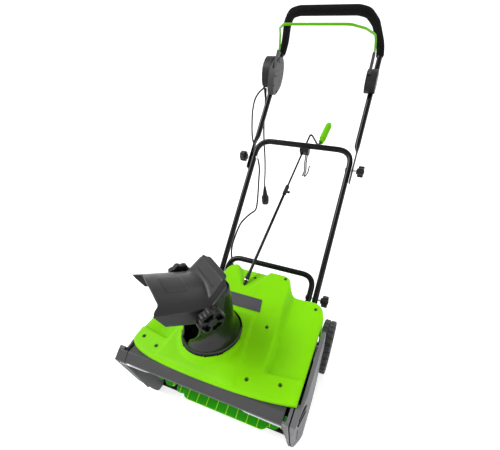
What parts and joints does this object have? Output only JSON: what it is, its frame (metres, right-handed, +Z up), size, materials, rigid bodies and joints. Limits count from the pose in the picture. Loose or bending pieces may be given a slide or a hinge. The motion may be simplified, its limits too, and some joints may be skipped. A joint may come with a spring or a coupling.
{
  "type": "electric snow thrower",
  "caption": "Walk-behind single-stage electric snow thrower with a paddle auger, crank-turned discharge chute, tilting deflector, folding handle, bail switch and mains lead.",
  "frame": {"origin": "middle of the bounding box without the mains lead and plug, on the ground", "axes": "-Y is the way the machine drives, +X is its side with the crank handle's grip as seen from the front on the right, +Z is up"},
  "size_m": [0.598, 1.2409, 1.0766],
  "materials": {
    "hood_green": "moulded, glossy",
    "auger_green": "satin",
    "bar_grey": "satin powder coat",
    "plate_grey": "fine grained",
    "black_plastic": "fine grained",
    "badge": "smooth, blank",
    "chute_plastic": "semi-gloss",
    "knob_plastic": "satin",
    "handle_paint": "gloss black",
    "grip_foam": "soft foam",
    "switch_plastic": "satin",
    "bail_paint": "gloss",
    "accent_green": "gloss",
    "steel": "bright",
    "wheel_hub": "satin",
    "tyre": "moulded",
    "belt": "ribbed",
    "cable": "smooth"
  },
  "bodies": {
    "chassis": {"auger_housing": "black_plastic", "chute_collar": "black_plastic", "side_plate_left": "plate_grey", "side_plate_right": "plate_grey", "lip_bar": "bar_grey", "scraper_bar": "black_plastic", "lip_gusset_left": "bar_grey", "lip_gusset_right": "bar_grey", "hood": "hood_green", "badge_plate": "badge", "motor_bay": "black_plastic", "motor": "steel", "motor_mount": "steel", "auger_bearing_left": "steel", "auger_bearing_right": "steel", "axle": "steel", "lower_handle": "handle_paint", "handle_socket_left": "black_plastic", "handle_socket_right": "black_plastic", "motor_cable_lower": "cable", "drive_belt": "belt"},
    "auger": {"auger_rotor": "auger_green", "auger_shaft": "steel", "auger_pulley": "black_plastic"},
    "motor_rotor": {"motor_shaft_pulley": "steel"},
    "left_wheel": {"wheel_left": "wheel_hub", "tyre_left": "tyre"},
    "right_wheel": {"wheel_right": "wheel_hub", "tyre_right": "tyre"},
    "chute": {"chute_base": "chute_plastic"},
    "chute_deflector": {"deflector": "chute_plastic"},
    "left_deflector_knob": {"deflector_knob_left": "knob_plastic"},
    "right_deflector_knob": {"deflector_knob_right": "knob_plastic"},
    "lower_crank": {"crank_lower_rod": "handle_paint", "crank_pinion": "knob_plastic", "crank_sleeve": "steel"},
    "folding_handle": {"middle_handle": "handle_paint", "crank_guide": "black_plastic", "cord_hook": "handle_paint", "motor_cable_middle": "cable"},
    "upper_crank": {"crank_upper_rod": "handle_paint"},
    "crank_knob": {"crank_grip": "accent_green"},
    "top_handle": {"upper_handle": "handle_paint", "grip_foam": "grip_foam", "switch_housing_outer": "switch_plastic", "switch_housing_inner": "switch_plastic", "bail_bracket": "switch_plastic", "motor_cable_upper": "cable", "lead_strain_relief": "cable", "mains_lead": "cable", "mains_plug": "cable"},
    "bail": {"bail_lever_left": "switch_plastic", "bail_lever_right": "switch_plastic", "bail_rod": "bail_paint"},
    "lock_off": {"lock_button": "accent_green"},
    "left_lower_knob": {"lower_knob_left": "knob_plastic"},
    "right_lower_knob": {"lower_knob_right": "knob_plastic"},
    "left_upper_knob": {"upper_knob_left": "knob_plastic"},
    "right_upper_knob": {"upper_knob_right": "knob_plastic"}
  },
  "joints": [
    {"name": "auger_spin", "type": "hinge", "parent": "chassis", "child": "auger", "pos_m": [0, -0.50345, 0.112], "axis": [1, 0, 0], "continuous": true},
    {"name": "motor_spin", "type": "hinge", "parent": "chassis", "child": "motor_rotor", "pos_m": [-0.25, -0.37645, 0.235], "axis": [1, 0, 0], "continuous": true},
    {"name": "left_wheel_roll", "type": "hinge", "parent": "chassis", "child": "left_wheel", "pos_m": [-0.277, -0.25145, 0.098], "axis": [1, 0, 0], "continuous": true},
    {"name": "right_wheel_roll", "type": "hinge", "parent": "chassis", "child": "right_wheel", "pos_m": [0.277, -0.25145, 0.098], "axis": [1, 0, 0], "continuous": true},
    {"name": "chute_turn", "type": "hinge", "parent": "chassis", "child": "chute", "pos_m": [-0.035, -0.46645, 0.317], "axis": [0, 0, 1], "range_deg": [-62, 128]},
    {"name": "deflector_tilt", "type": "hinge", "parent": "chute", "child": "chute_deflector", "pos_m": [-0.04753, -0.48574, 0.485], "axis": [0.8387, -0.5446, 0], "range_deg": [-15, 25]},
    {"name": "left_deflector_knob_turn", "type": "hinge", "parent": "chute", "child": "left_deflector_knob", "pos_m": [-0.11462, -0.44217, 0.485], "axis": [0.8387, -0.5446, 0], "continuous": true},
    {"name": "right_deflector_knob_turn", "type": "hinge", "parent": "chute", "child": "right_deflector_knob", "pos_m": [0.01957, -0.52931, 0.485], "axis": [0.8387, -0.5446, 0], "continuous": true},
    {"name": "lower_crank_turn", "type": "hinge", "parent": "chassis", "child": "lower_crank", "pos_m": [-0.026, -0.26745, 0.336], "axis": [0.0372, 0.8899, 0.4547], "range_deg": [-496, 1024]},
    {"name": "handle_fold", "type": "hinge", "parent": "chassis", "child": "folding_handle", "pos_m": [0, -0.15845, 0.231], "axis": [1, 0, 0], "range_deg": [0, 70]},
    {"name": "upper_crank_turn", "type": "hinge", "parent": "folding_handle", "child": "upper_crank", "pos_m": [-0.003, 0.28255, 0.617], "axis": [0.0372, 0.8899, 0.4547], "range_deg": [-496, 1024]},
    {"name": "crank_grip_spin", "type": "hinge", "parent": "upper_crank", "child": "crank_knob", "pos_m": [0.05547, 0.34854, 0.64142], "axis": [0.0955, 0.8549, 0.5099], "continuous": true},
    {"name": "top_handle_fold", "type": "hinge", "parent": "folding_handle", "child": "top_handle", "pos_m": [0, 0.22185, 0.58564], "axis": [1, 0, 0], "range_deg": [-150, 0]},
    {"name": "bail_pull", "type": "hinge", "parent": "top_handle", "child": "bail", "pos_m": [0, 0.45689, 0.87318], "axis": [1, 0, 0], "range_deg": [-49, 0], "stiffness_Nm_per_rad": 0.9, "springref_deg": 28.65},
    {"name": "lock_off_press", "type": "slide", "parent": "top_handle", "child": "lock_off", "axis": [0, -0.682, 0.7314], "range_m": [0, 0.005], "stiffness_N_per_m": 300, "springref_m": -0.002},
    {"name": "left_lower_knob_turn", "type": "hinge", "parent": "folding_handle", "child": "left_lower_knob", "pos_m": [-0.23, -0.15845, 0.231], "axis": [1, 0, 0], "continuous": true},
    {"name": "right_lower_knob_turn", "type": "hinge", "parent": "folding_handle", "child": "right_lower_knob", "pos_m": [0.23, -0.15845, 0.231], "axis": [1, 0, 0], "continuous": true},
    {"name": "left_upper_knob_turn", "type": "hinge", "parent": "folding_handle", "child": "left_upper_knob", "pos_m": [-0.24, 0.22185, 0.58564], "axis": [1, 0, 0], "continuous": true},
    {"name": "right_upper_knob_turn", "type": "hinge", "parent": "folding_handle", "child": "right_upper_knob", "pos_m": [0.24, 0.22185, 0.58564], "axis": [1, 0, 0], "continuous": true}
  ],
  "couplings": [
    {"joint": "motor_spin", "follows": "auger_spin", "ratio": 4.2857},
    {"joint": "lower_crank_turn", "follows": "chute_turn", "ratio": 8},
    {"joint": "upper_crank_turn", "follows": "chute_turn", "ratio": 8}
  ]
}
